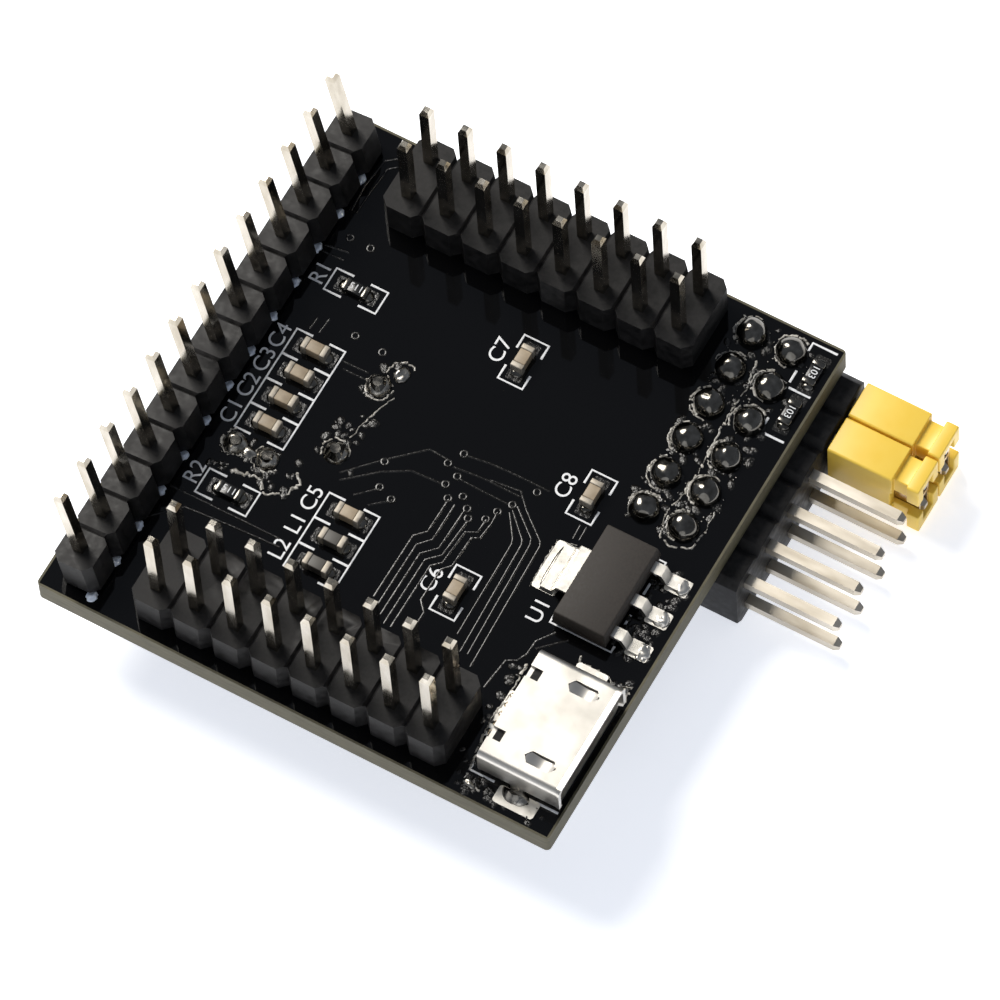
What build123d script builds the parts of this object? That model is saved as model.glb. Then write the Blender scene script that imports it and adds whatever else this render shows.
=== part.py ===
from build123d import *
import math
import os

# A small microcontroller board. The frame: the origin is the middle of the board's upper face,
# +X points to the USB socket's mouth, +Y to the 16-pin header on the far edge, +Z out of the
# face that carries the long pins. The controller and the crystals are on the underside.

# ---- Driving dimensions, mm ----
PITCH = 2.54                 # pin spacing of every header
PIN = 0.64                   # square pin, across flats
POINT = 0.35                 # length of a pin's blunt point
POINT_TAPER = 22             # degrees each side of the point
NOTCH = 0.48                 # depth of the V between two header segments
PIN_ABOVE = 8.64             # pin tip above the foot of its header body
PIN_BELOW = 3.0              # pin tail below the same foot

BOARD_X, BOARD_Y, BOARD_T = 33.4, 34.9, 1.6
BOARD_CORNER = 0.3
UNDER = -BOARD_T             # height of the lower face

PIN_HOLE = 1.1
LEAN_PIN_HOLE = 1.25

# Straight headers: middle of each, columns along the header, rows across it
DOUBLE_COLUMNS = 8
DOUBLE_X = -0.81
FAR_Y, NEAR_Y = 14.5, -14.01
LEFT_COLUMNS = 13
LEFT_Y = -0.1
LEFT_AXIS_X = -14.37         # where the leaning pins' axes cross the upper face
LEFT_LEAN = 8.0              # degrees, tips away from the board

# Right-angle header on the underside
RA_COLUMNS = 6
RA_Y = 9.5
RA_ROW_A, RA_ROW_B = 11.37, 13.91
RA_BACK = 15.45
RA_BODY_MIDDLE = UNDER - PITCH
RA_UPPER, RA_LOWER = RA_BODY_MIDDLE + PITCH / 2, RA_BODY_MIDDLE - PITCH / 2
RA_TIP = 24.05
RA_TAIL_TOP = 0.72
RA_OUTER_BEND, RA_INNER_BEND = 0.8, 0.25
DOME_RADIUS = 0.87

# Jumper caps
CAP_BACK, CAP_FRONT = 18.25, 24.2
CAP_Y, CAP_Z = 2.4, 5.0
CAP_NECK_FROM, CAP_NECK_TO, CAP_NECK_INSET = 22.45, 23.4, 0.3
CAP_EDGE = 0.15
CAP_SLOT_FROM, CAP_SLOT_TALL = 22.3, 1.5     # the outer end is split into two prongs
CLIP_GAP, CLIP_LEAF, CLIP_TALL = 0.05, 0.2, 3.8
CLIP_WEB = 0.3
CLIP_BACK, CLIP_FRONT = 18.7, 23.9

# USB socket
USB_Y = -11.95
USB_BACK, USB_FRONT = 11.2, 16.2
USB_WIDE, USB_TALL, USB_WALL = 7.5, 2.5, 0.25
USB_TOP_RADIUS, USB_FOOT_CHAMFER = 0.4, 0.6
USB_LIP, USB_LIP_FLARE = 0.3, 12
USB_LEG_X, USB_LEG_WIDE, USB_LEG_DOWN = 13.7, 0.8, -2.2
USB_LEG_HOLE = 0.6
USB_REAR_GAP = 0.6           # the contacts' tails come out through this notch in the floor
USB_SLOT_X, USB_SLOT_Y, USB_SLOT_LONG, USB_SLOT_WIDE = 14.6, 2.48, 2.0, 0.8
USB_SLOT_POINT = 0.3         # the slots' ends are pointed
USB_NOTCH_Y, USB_NOTCH_DEEP, USB_NOTCH_WIDE = 2.13, 0.8, 0.75
TONGUE_FRONT, TONGUE_HALF, TONGUE_LOW, TONGUE_HIGH = 15.8, 1.85, 1.15, 1.75
TONGUE_ROOT = 12.7
TONGUE_BLOCK_GAP = 0.45      # between the tongue's root block and the shell, each side
TONGUE_BLOCK_LIFT = 0.3      # and under it
CONTACT_TAIL, CONTACT_RISE, CONTACT_SHORT = 0.7, 0.35, 0.4
USB_BAR_SIDE, USB_BAR_DEEP = 0.8, 0.6         # size of the floor's notch for the tails
LEG_RING_RADIUS, LEG_RING_TALL, LEG_RING_TAPER = 0.85, 0.55, 35
LEG_CONE_TOP, LEG_CONE_FOOT, LEG_CONE_TALL = 0.5, 0.9, 0.5
LEG_ROOT = 1.0               # the legs overlap the shell's side up to this height
CONTACT_PITCH, CONTACT_WIDE, CONTACT_THICK = 0.65, 0.3, 0.15

# Voltage regulator
REG_X, REG_Y = 12.1, -2.5
REG_BODY_X, REG_BODY_Y, REG_BODY_LOW, REG_BODY_HIGH = 3.5, 6.5, 0.1, 1.7
REG_SPAN = 7.0
REG_TAB, REG_LEAD, REG_LEAD_PITCH = 3.0, 0.72, 2.3
REG_METAL = 0.26
REG_ROOT = 0.6               # metal inside the moulding
REG_DRAFT = 8                # degrees, moulded sides

# Bent leads: knee and heel as shares of the reach, and the inner bend's setback per thickness
KNEE, HEEL, LEAD_TURN = 0.4, 0.6, 0.7

# Small two-ended chips
CHIP_L, CHIP_W, TERMINAL = 1.6, 0.8, 0.35
CAPACITOR_H, RESISTOR_H, INDUCTOR_H, LED_H = 0.8, 0.45, 0.8, 0.6
CHIP_SKIN = 0.03             # how far a terminal stands proud of its body

# Controller, crystals and button on the underside
MCU_X, MCU_Y = 3.2, -1.0
MCU_BODY, MCU_THICK, MCU_GAP = 10.0, 1.4, 0.1
MCU_SPAN, MCU_SIDE, MCU_PITCH, MCU_LEAD_WIDE, MCU_LEAD_THICK = 12.0, 16, 0.5, 0.22, 0.13
MCU_ROOT, MCU_CORNER = 0.3, 0.2
MCU_MARK, MCU_MARK_RADIUS, MCU_MARK_DEEP = 1.2, 0.5, 0.1
CRYSTAL_X, CRYSTAL_Y, CRYSTAL_LEADS = -5.85, 0.3, 4.88
CRYSTAL_LONG, CRYSTAL_WIDE, CRYSTAL_TALL, CRYSTAL_RIM = 11.0, 4.4, 3.5, 0.4
CRYSTAL_LEAD, CRYSTAL_HOLE = 0.22, 0.4        # radii
CRYSTAL_STEP, CRYSTAL_EDGE = 0.4, 0.35        # can inside the rim, and its rounded edge
CRYSTAL_ABOVE = 0.5                           # clipped lead above the upper face
CRYSTAL_CONE = (0.75, 0.3, 0.6)               # solder: foot radius, top radius, height
WATCH_X, WATCH_Y, WATCH_PITCH = -10.13, -4.35, 2.06
WATCH_LONG, WATCH_RADIUS, WATCH_LEAD = 6.0, 1.03, 0.3
WATCH_HOLE, WATCH_END, WATCH_EDGE = 0.3, 1.1, 0.3
WATCH_ROOT, WATCH_STRAIGHT, WATCH_ABOVE = 0.45, 0.4, 0.45
WATCH_CONE = (0.65, 0.3, 0.5)
BUTTON_X, BUTTON_Y, BUTTON = 12.6, -12.0, 4.5
BUTTON_BASE, BUTTON_COVER = 1.7, 0.3
BUTTON_CORNER = 0.4
WELL_RADIUS, WELL_DEEP = 1.9, 1.2
DOME_SLACK, DOME_THICK = 0.05, 0.1
PLUNGER_RADIUS, PLUNGER_SLACK, PLUNGER_OUT, PLUNGER_EDGE = 1.15, 0.1, 1.0, 0.15
FLANGE_RADIUS, FLANGE_THICK, FLANGE_GAP = 1.7, 0.42, 0.03
STEM_RADIUS, STEM_LONG = 0.6, 0.35
BUTTON_LEG_Y, BUTTON_LEG_REACH, BUTTON_LEG_RUN = 1.5, 1.0, 0.8
BUTTON_LEG_WIDE, BUTTON_LEG_THICK = 0.7, 0.15

os.makedirs("parts", exist_ok=True)


def save(piece, label):
    """Names a finished sub-part and writes its STEP file."""
    piece.part.label = label
    export_step(piece.part, f"parts/{label}.step")


def upright(x, y, z, turn=0):
    """A plane that stands on the board: its x points along `turn` degrees, its y points up."""
    a = math.radians(turn)
    return Plane(origin=(x, y, z), x_dir=(math.cos(a), math.sin(a), 0),
                 z_dir=(math.sin(a), -math.cos(a), 0))


# ---- Header planes: x runs along the header, z along its pins ----
lean = math.radians(LEFT_LEAN)
left_foot_z = PITCH / 2 * math.sin(lean)         # the outer foot touches the board
left_foot_x = LEFT_AXIS_X - left_foot_z * math.tan(lean)
left_plane = Plane(origin=(left_foot_x, LEFT_Y, left_foot_z), x_dir=(0, 1, 0),
                   z_dir=(-math.sin(lean), 0, math.cos(lean)))
far_plane = Plane(origin=(DOUBLE_X, FAR_Y, 0))
near_plane = Plane(origin=(DOUBLE_X, NEAR_Y, 0))
ra_plane = Plane(origin=(RA_BACK, RA_Y, RA_BODY_MIDDLE), x_dir=(0, 1, 0), z_dir=(1, 0, 0))
left_hole_x = LEFT_AXIS_X + BOARD_T / 2 * math.tan(lean)
left_tail_x = LEFT_AXIS_X + (BOARD_T + 0.5) * math.tan(lean)

usb_leg_ys = [USB_Y - (USB_WIDE - USB_WALL) / 2, USB_Y + (USB_WIDE - USB_WALL) / 2]
crystal_lead_ys = [CRYSTAL_Y - CRYSTAL_LEADS / 2, CRYSTAL_Y + CRYSTAL_LEADS / 2]
watch_lead_xs = [WATCH_X - WATCH_PITCH / 2, WATCH_X + WATCH_PITCH / 2]

# ---- Bare board, drilled ----
with BuildPart() as pcb:
    with BuildSketch(Plane.XY.offset(UNDER)):
        RectangleRounded(BOARD_X, BOARD_Y, BOARD_CORNER)
        for middle_y in (FAR_Y, NEAR_Y):
            with Locations((DOUBLE_X, middle_y)):
                with GridLocations(PITCH, PITCH, DOUBLE_COLUMNS, 2):
                    Circle(PIN_HOLE / 2, mode=Mode.SUBTRACT)
        with Locations((left_hole_x, LEFT_Y)):
            with GridLocations(PITCH, PITCH, 1, LEFT_COLUMNS):
                Circle(LEAN_PIN_HOLE / 2, mode=Mode.SUBTRACT)
        with Locations(((RA_ROW_A + RA_ROW_B) / 2, RA_Y)):
            with GridLocations(PITCH, PITCH, 2, RA_COLUMNS):
                Circle(PIN_HOLE / 2, mode=Mode.SUBTRACT)
        with Locations(*[(USB_LEG_X, y) for y in usb_leg_ys]):
            Circle(USB_LEG_HOLE, mode=Mode.SUBTRACT)
        with Locations(*[(CRYSTAL_X, y) for y in crystal_lead_ys]):
            Circle(CRYSTAL_HOLE, mode=Mode.SUBTRACT)
        with Locations(*[(x, WATCH_Y) for x in watch_lead_xs]):
            Circle(WATCH_HOLE, mode=Mode.SUBTRACT)
    extrude(amount=BOARD_T)
save(pcb, "pcb")


def header_body(base, columns, rows):
    """Moulded bar of eight-sided segments with a square hole for each pin."""
    with BuildPart() as body:
        with BuildSketch(base):
            Rectangle(columns * PITCH, rows * PITCH)
            with GridLocations(PITCH, rows * PITCH, columns + 1, 2):
                Rectangle(NOTCH * math.sqrt(2), NOTCH * math.sqrt(2), rotation=45, mode=Mode.SUBTRACT)
            with GridLocations(PITCH, PITCH, columns, rows):
                Rectangle(PIN, PIN, mode=Mode.SUBTRACT)
        extrude(amount=PITCH)
    return body


def header_pins(base, columns, rows, low, high):
    """Square pins from `low` to `high` along the header's z, blunt at both ends."""
    downward = Plane(base.offset(low + POINT).origin, x_dir=base.x_dir, z_dir=-base.z_dir)
    with BuildPart() as pins:
        for plane, length, taper in ((base.offset(low + POINT), high - low - 2 * POINT, 0),
                                     (base.offset(high - POINT), POINT, POINT_TAPER),
                                     (downward, POINT, POINT_TAPER)):
            with BuildSketch(plane):
                with GridLocations(PITCH, PITCH, columns, rows):
                    Rectangle(PIN, PIN)
            extrude(amount=length, taper=taper)
    return pins


# ---- Straight headers on the upper face ----
header_left_body = header_body(left_plane, LEFT_COLUMNS, 1)
save(header_left_body, "header_left_body")
header_left_pins = header_pins(left_plane, LEFT_COLUMNS, 1, -PIN_BELOW, PIN_ABOVE)
save(header_left_pins, "header_left_pins")
header_far_body = header_body(far_plane, DOUBLE_COLUMNS, 2)
save(header_far_body, "header_far_body")
header_far_pins = header_pins(far_plane, DOUBLE_COLUMNS, 2, -PIN_BELOW, PIN_ABOVE)
save(header_far_pins, "header_far_pins")
header_near_body = header_body(near_plane, DOUBLE_COLUMNS, 2)
save(header_near_body, "header_near_body")
header_near_pins = header_pins(near_plane, DOUBLE_COLUMNS, 2, -PIN_BELOW, PIN_ABOVE)
save(header_near_pins, "header_near_pins")

# ---- Solder cones of those headers, under the board ----
CONE_TALL, CONE_FOOT, CONE_TOP = 1.0, 0.85, 0.56
with BuildPart() as header_solder:
    with Locations((DOUBLE_X, FAR_Y, UNDER), (DOUBLE_X, NEAR_Y, UNDER)):
        with GridLocations(PITCH, PITCH, DOUBLE_COLUMNS, 2):
            Cone(CONE_TOP, CONE_FOOT, CONE_TALL, align=(Align.CENTER, Align.CENTER, Align.MAX))
    with Locations((left_tail_x, LEFT_Y, UNDER)):
        with GridLocations(PITCH, PITCH, 1, LEFT_COLUMNS):
            Cone(CONE_TOP, CONE_FOOT, CONE_TALL, align=(Align.CENTER, Align.CENTER, Align.MAX))
    for pins in (header_left_pins, header_far_pins, header_near_pins):
        add(pins.part, mode=Mode.SUBTRACT)
save(header_solder, "header_solder")

# ---- Right-angle header under the board ----
ra_header_body = header_body(ra_plane, RA_COLUMNS, 2)
save(ra_header_body, "ra_header_body")
RA_YS = [RA_Y + (i - (RA_COLUMNS - 1) / 2) * PITCH for i in range(RA_COLUMNS)]


def bent_pins(row_x, run_z):
    """Pins that come out of the board's hole row, turn once and run out along +X."""
    shoulder = RA_TIP - POINT
    with BuildPart() as pins:
        for y in RA_YS:
            with BuildSketch(upright(0, y, 0)):
                with BuildLine():
                    Polyline((row_x - PIN / 2, RA_TAIL_TOP), (row_x + PIN / 2, RA_TAIL_TOP),
                             (row_x + PIN / 2, run_z + PIN / 2), (shoulder, run_z + PIN / 2),
                             (shoulder, run_z - PIN / 2), (row_x - PIN / 2, run_z - PIN / 2),
                             close=True)
                make_face()
                fillet(vertices().filter_by_position(Axis.Y, run_z, run_z + PIN)
                       .filter_by_position(Axis.X, row_x, row_x + PIN), radius=RA_INNER_BEND)
                fillet(vertices().sort_by(Axis.X)[:2].sort_by(Axis.Y)[:1], radius=RA_OUTER_BEND)
            extrude(amount=PIN / 2, both=True)
        tips = Plane(origin=(shoulder, RA_Y, run_z), x_dir=(0, 1, 0), z_dir=(1, 0, 0))
        with BuildSketch(tips):
            with GridLocations(PITCH, PITCH, RA_COLUMNS, 1):
                Rectangle(PIN, PIN)
        extrude(amount=POINT, taper=POINT_TAPER)
    return pins


ra_upper_pins = bent_pins(RA_ROW_B, RA_UPPER)
save(ra_upper_pins, "ra_header_upper_pins")
ra_lower_pins = bent_pins(RA_ROW_A, RA_LOWER)
save(ra_lower_pins, "ra_header_lower_pins")

with BuildPart() as ra_solder:
    with Locations(((RA_ROW_A + RA_ROW_B) / 2, RA_Y, 0)):
        with GridLocations(PITCH, PITCH, 2, RA_COLUMNS):
            Sphere(DOME_RADIUS, arc_size1=0, align=(Align.CENTER, Align.CENTER, Align.MIN))
    add(ra_upper_pins.part, mode=Mode.SUBTRACT)
    add(ra_lower_pins.part, mode=Mode.SUBTRACT)
save(ra_solder, "ra_header_solder")

# ---- Jumper caps: each bridges the two pins of one column, and pulls off along +X ----
clip_half = PIN / 2 + CLIP_GAP + CLIP_LEAF
cap_ys = [RA_YS[-1], RA_YS[-2]]
for number, cap_y in enumerate(cap_ys, start=1):
    def across(x):
        return Plane(origin=(x, cap_y, RA_BODY_MIDDLE), x_dir=(0, 1, 0), z_dir=(1, 0, 0))

    with BuildPart() as cap:
        with BuildSketch(across(CAP_BACK)):
            RectangleRounded(CAP_Y, CAP_Z, CAP_EDGE)
        extrude(amount=CAP_NECK_FROM - CAP_BACK)
        with BuildSketch(across(CAP_NECK_FROM)):
            Rectangle(CAP_Y - 2 * CAP_NECK_INSET, CAP_Z - 2 * CAP_NECK_INSET)
        extrude(amount=CAP_NECK_TO - CAP_NECK_FROM)
        with BuildSketch(across(CAP_NECK_TO)):
            RectangleRounded(CAP_Y, CAP_Z, CAP_EDGE)
        extrude(amount=CAP_FRONT - CAP_NECK_TO)
        with BuildSketch(across(CAP_BACK)):
            Rectangle(2 * clip_half, CLIP_TALL)
        extrude(amount=CAP_FRONT - CAP_BACK, mode=Mode.SUBTRACT)
        with BuildSketch(across(CAP_SLOT_FROM)):
            Rectangle(2 * CAP_Y, CAP_SLOT_TALL)
        extrude(amount=CAP_FRONT - CAP_SLOT_FROM, mode=Mode.SUBTRACT)
    save(cap, f"jumper_cap_{number}")

    with BuildPart() as clip:
        with BuildSketch(across(CLIP_BACK)):
            with Locations((-clip_half + CLIP_LEAF / 2, 0), (clip_half - CLIP_LEAF / 2, 0)):
                Rectangle(CLIP_LEAF, CLIP_TALL)
            Rectangle(2 * clip_half, CLIP_WEB)
        extrude(amount=CLIP_FRONT - CLIP_BACK)
    save(clip, f"jumper_clip_{number}")

# ---- USB socket: folded shell, moulded tongue, five contacts ----
usb_plane = Plane(origin=(USB_BACK, USB_Y, USB_TALL / 2), x_dir=(0, 1, 0), z_dir=(1, 0, 0))


def usb_outline(plane, inset):
    """The shell's section: rounded above, cut off at a slant below."""
    with BuildSketch(plane) as outline:
        Rectangle(USB_WIDE - 2 * inset, USB_TALL - 2 * inset)
        fillet(vertices().group_by(Axis.Y)[-1], radius=USB_TOP_RADIUS - inset / 2)
        chamfer(vertices().group_by(Axis.Y)[0], length=USB_FOOT_CHAMFER - inset / 2)
    return outline.sketch


mouth = usb_plane.offset(USB_FRONT - USB_BACK)
usb_block = usb_outline(Plane.XY, 0)
usb_inside = usb_outline(Plane.XY, USB_WALL)
with BuildPart() as usb_shell:
    with BuildSketch(usb_plane):
        add(usb_block)
    extrude(amount=USB_FRONT - USB_BACK)
    with BuildSketch(mouth):
        add(usb_block)
    extrude(amount=USB_LIP, taper=-USB_LIP_FLARE)
    with BuildSketch(mouth):
        with Locations((0, USB_FOOT_CHAMFER - USB_TALL)):
            Rectangle(2 * USB_WIDE, USB_TALL)
    extrude(amount=USB_LIP, mode=Mode.SUBTRACT)
    with BuildSketch(usb_plane.offset(USB_WALL)):
        add(usb_inside)
    extrude(amount=USB_FRONT - USB_BACK - USB_WALL, mode=Mode.SUBTRACT)
    with BuildSketch(mouth):
        add(usb_inside)
    extrude(amount=USB_LIP, taper=-USB_LIP_FLARE, mode=Mode.SUBTRACT)
    with BuildSketch(usb_plane):
        with Locations((0, -USB_TALL / 2)):
            Rectangle(USB_WIDE - 2 * USB_BAR_SIDE, 2 * USB_BAR_DEEP)
    extrude(amount=USB_REAR_GAP, mode=Mode.SUBTRACT)
    for leg_y in usb_leg_ys:
        with BuildSketch(upright(USB_LEG_X, leg_y, 0)):
            with Locations((0, (LEG_ROOT + USB_LEG_DOWN) / 2)):
                Rectangle(USB_LEG_WIDE, LEG_ROOT - USB_LEG_DOWN)
        extrude(amount=USB_WALL / 2, both=True)
    with BuildSketch(Plane.XY.offset(USB_TALL)):
        with Locations((USB_SLOT_X, USB_Y + USB_SLOT_Y), (USB_SLOT_X, USB_Y - USB_SLOT_Y)):
            Polygon((-USB_SLOT_LONG / 2, 0), (USB_SLOT_POINT - USB_SLOT_LONG / 2, -USB_SLOT_WIDE / 2),
                    (USB_SLOT_LONG / 2 - USB_SLOT_POINT, -USB_SLOT_WIDE / 2), (USB_SLOT_LONG / 2, 0),
                    (USB_SLOT_LONG / 2 - USB_SLOT_POINT, USB_SLOT_WIDE / 2),
                    (USB_SLOT_POINT - USB_SLOT_LONG / 2, USB_SLOT_WIDE / 2))
        with Locations((USB_BACK, USB_Y + USB_NOTCH_Y), (USB_BACK, USB_Y - USB_NOTCH_Y)):
            Rectangle(2 * USB_NOTCH_DEEP, USB_NOTCH_WIDE)
    extrude(amount=-USB_WALL, mode=Mode.SUBTRACT)
save(usb_shell, "usb_shell")

contact_x = USB_BACK + CONTACT_RISE
with BuildPart() as usb_contacts:
    contact_ys = [USB_Y + (i - 2) * CONTACT_PITCH for i in range(5)]
    for contact_y in contact_ys:
        with BuildSketch(upright(0, contact_y, 0)):
            with BuildLine():
                Polyline((USB_BACK - CONTACT_TAIL, 0), (USB_BACK - CONTACT_TAIL, CONTACT_THICK),
                         (contact_x, CONTACT_THICK), (contact_x, TONGUE_LOW),
                         (TONGUE_FRONT - CONTACT_SHORT, TONGUE_LOW),
                         (TONGUE_FRONT - CONTACT_SHORT, TONGUE_LOW - CONTACT_THICK),
                         (contact_x + CONTACT_THICK, TONGUE_LOW - CONTACT_THICK),
                         (contact_x + CONTACT_THICK, 0), close=True)
            make_face()
        extrude(amount=CONTACT_WIDE / 2, both=True)
save(usb_contacts, "usb_contacts")

with BuildPart() as usb_tongue:
    with BuildSketch(usb_plane.offset(USB_WALL)):
        with Locations((0, TONGUE_BLOCK_LIFT / 2)):
            Rectangle(USB_WIDE - 2 * USB_WALL - 2 * TONGUE_BLOCK_GAP,
                      USB_TALL - 2 * USB_WALL - TONGUE_BLOCK_LIFT)
    extrude(amount=TONGUE_ROOT - USB_BACK - USB_WALL)
    with BuildSketch(Plane(origin=(TONGUE_ROOT, USB_Y, (TONGUE_LOW + TONGUE_HIGH) / 2),
                           x_dir=(0, 1, 0), z_dir=(1, 0, 0))):
        Rectangle(2 * TONGUE_HALF, TONGUE_HIGH - TONGUE_LOW)
    extrude(amount=TONGUE_FRONT - TONGUE_ROOT)
    add(usb_contacts.part, mode=Mode.SUBTRACT)
save(usb_tongue, "usb_tongue")

with BuildPart() as usb_solder:
    with Locations(*[(USB_LEG_X, y, UNDER) for y in usb_leg_ys]):
        Cone(LEG_CONE_TOP, LEG_CONE_FOOT, LEG_CONE_TALL, align=(Align.CENTER, Align.CENTER, Align.MAX))
    for leg_y, outward in zip(usb_leg_ys, (-1, 1)):
        with BuildSketch(Plane.XY):
            with Locations((USB_LEG_X, leg_y + outward * USB_WALL / 2)):
                Circle(LEG_RING_RADIUS)
            with Locations((USB_LEG_X, leg_y + outward * (USB_WALL / 2 - LEG_RING_RADIUS))):
                Rectangle(2 * LEG_RING_RADIUS, 2 * LEG_RING_RADIUS, mode=Mode.SUBTRACT)
        extrude(amount=LEG_RING_TALL, taper=LEG_RING_TAPER)
    add(usb_shell.part, mode=Mode.SUBTRACT)
save(usb_solder, "usb_solder")

# ---- Regulator: moulded body, heat tab on the -X side, three leads on the +X side ----
reg_mid_z = (REG_BODY_LOW + REG_BODY_HIGH) / 2


def gull_profile(inside, reach, run, metal, face, side=1):
    """Side view of a bent lead: level out of the body, then towards the board and level on it.
    `run` is the lead's outer height off the board; `side` is -1 under the board."""
    knee = face + (reach - face) * KNEE
    heel = face + (reach - face) * HEEL
    turned = metal * LEAD_TURN
    Polyline((inside, side * run), (knee, side * run), (heel, side * metal), (reach, side * metal),
             (reach, 0), (heel - turned, 0), (knee - turned, side * (run - metal)),
             (inside, side * (run - metal)), close=True)


def reg_metal(turn, width, ys):
    with BuildPart() as metal:
        for y in ys:
            with BuildSketch(upright(REG_X, y, 0, turn)):
                with BuildLine():
                    gull_profile(REG_BODY_X / 2 - REG_ROOT, REG_SPAN / 2, reg_mid_z + REG_METAL / 2,
                                 REG_METAL, REG_BODY_X / 2)
                make_face()
            extrude(amount=width / 2, both=True)
    return metal


regulator_leads = reg_metal(0, REG_LEAD, [REG_Y + i * REG_LEAD_PITCH for i in (-1, 0, 1)])
save(regulator_leads, "regulator_leads")
regulator_tab = reg_metal(180, REG_TAB, [REG_Y])
save(regulator_tab, "regulator_tab")

with BuildPart() as regulator_body:
    with BuildSketch(Plane(origin=(REG_X, REG_Y, reg_mid_z))):
        Rectangle(REG_BODY_X, REG_BODY_Y)
    extrude(amount=REG_BODY_HIGH - reg_mid_z, taper=REG_DRAFT)
    with BuildSketch(Plane(origin=(REG_X, REG_Y, reg_mid_z), x_dir=(1, 0, 0), z_dir=(0, 0, -1))):
        Rectangle(REG_BODY_X, REG_BODY_Y)
    extrude(amount=reg_mid_z - REG_BODY_LOW, taper=REG_DRAFT)
    add(regulator_leads.part, mode=Mode.SUBTRACT)
    add(regulator_tab.part, mode=Mode.SUBTRACT)
save(regulator_body, "regulator_body")


def chips(label, places, height, upward=True):
    """Chip bodies and their end terminals, one node each. Each place is (x, y, turn)."""
    foot = 0 if upward else UNDER - height
    with BuildPart() as bodies:
        with BuildSketch(Plane.XY.offset(foot + CHIP_SKIN)):
            for x, y, turn in places:
                with Locations((x, y)):
                    Rectangle(CHIP_L - 2 * TERMINAL, CHIP_W - 2 * CHIP_SKIN, rotation=turn)
        extrude(amount=height - 2 * CHIP_SKIN)
    save(bodies, f"{label}_bodies")
    with BuildPart() as ends:
        with BuildSketch(Plane.XY.offset(foot)):
            for x, y, turn in places:
                with Locations(Location((x, y, 0), (0, 0, turn))):
                    with GridLocations(CHIP_L - TERMINAL, 1, 2, 1):
                        Rectangle(TERMINAL, CHIP_W)
        extrude(amount=height)
    save(ends, f"{label}_terminals")


ALONG_X, ALONG_Y = 0, 90
chips("capacitor", [(-10.07, 2.86, ALONG_X), (-10.07, 1.06, ALONG_X), (-10.07, -0.76, ALONG_X),
                    (-10.07, -2.57, ALONG_X), (-3.1, -5.35, ALONG_X), (0.7, 8.0, ALONG_Y),
                    (8.4, 2.36, ALONG_Y), (4.56, -6.6, ALONG_Y)], CAPACITOR_H)
chips("inductor", [(-3.1, -7.17, ALONG_X), (-3.1, -8.98, ALONG_X)], INDUCTOR_H)
chips("resistor", [(-10.0, 7.43, ALONG_X), (-9.9, -7.26, ALONG_X), (15.73, 15.2, ALONG_Y),
                   (15.73, 12.33, ALONG_Y)], RESISTOR_H)

# ---- Tinned spots beside the left header, one between each two pins ----
SPOT_X, SPOT_LONG, SPOT_WIDE, SPOT_TALL = -13.5, 0.55, 0.6, 0.05
with BuildPart() as tinned_spots:
    with BuildSketch(Plane.XY):
        with Locations((SPOT_X, LEFT_Y - PITCH / 2)):
            with GridLocations(PITCH, PITCH, 1, LEFT_COLUMNS):
                Rectangle(SPOT_LONG, SPOT_WIDE)
    extrude(amount=SPOT_TALL)
save(tinned_spots, "tinned_spots")

# ---- Controller on the underside: flat square package with sixteen leads on each side ----
mcu_low = UNDER - MCU_GAP - MCU_THICK
mcu_mid = mcu_low + MCU_THICK / 2
with BuildPart() as mcu_leads:
    for side in range(4):
        facing = upright(MCU_X, MCU_Y, UNDER, 90 * side)
        for i in range(MCU_SIDE):
            with BuildSketch(facing.offset((i - (MCU_SIDE - 1) / 2) * MCU_PITCH)):
                with BuildLine():
                    gull_profile(MCU_BODY / 2 - MCU_ROOT, MCU_SPAN / 2, UNDER - mcu_mid + MCU_LEAD_THICK / 2,
                                 MCU_LEAD_THICK, MCU_BODY / 2, side=-1)
                make_face()
            extrude(amount=MCU_LEAD_WIDE / 2, both=True)
save(mcu_leads, "mcu_leads")

with BuildPart() as mcu_package:
    with BuildSketch(Plane(origin=(MCU_X, MCU_Y, mcu_low))):
        Rectangle(MCU_BODY, MCU_BODY)
        chamfer(vertices(), length=MCU_CORNER)
    extrude(amount=MCU_THICK)
    with BuildSketch(Plane(origin=(MCU_X, MCU_Y, mcu_low))):
        with Locations((MCU_BODY / 2 - MCU_MARK, MCU_BODY / 2 - MCU_MARK)):
            Circle(MCU_MARK_RADIUS)
    extrude(amount=MCU_MARK_DEEP, mode=Mode.SUBTRACT)
    add(mcu_leads.part, mode=Mode.SUBTRACT)
save(mcu_package, "mcu_package")

# ---- Main crystal: rimmed base, drawn can, two leads soldered on the upper face ----
with BuildPart() as crystal_base:
    with BuildSketch(Plane(origin=(CRYSTAL_X, CRYSTAL_Y, UNDER - CRYSTAL_RIM))):
        SlotOverall(CRYSTAL_LONG, CRYSTAL_WIDE, rotation=90)
        with Locations((0, -CRYSTAL_LEADS / 2), (0, CRYSTAL_LEADS / 2)):
            Circle(CRYSTAL_LEAD, mode=Mode.SUBTRACT)
    extrude(amount=CRYSTAL_RIM)
save(crystal_base, "crystal_base")
with BuildPart() as crystal_can:
    with BuildSketch(Plane(origin=(CRYSTAL_X, CRYSTAL_Y, UNDER - CRYSTAL_TALL))):
        SlotOverall(CRYSTAL_LONG - 2 * CRYSTAL_STEP, CRYSTAL_WIDE - 2 * CRYSTAL_STEP, rotation=90)
    extrude(amount=CRYSTAL_TALL - CRYSTAL_RIM)
    fillet(edges().group_by(Axis.Z)[0], radius=CRYSTAL_EDGE)
save(crystal_can, "crystal_can")
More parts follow.
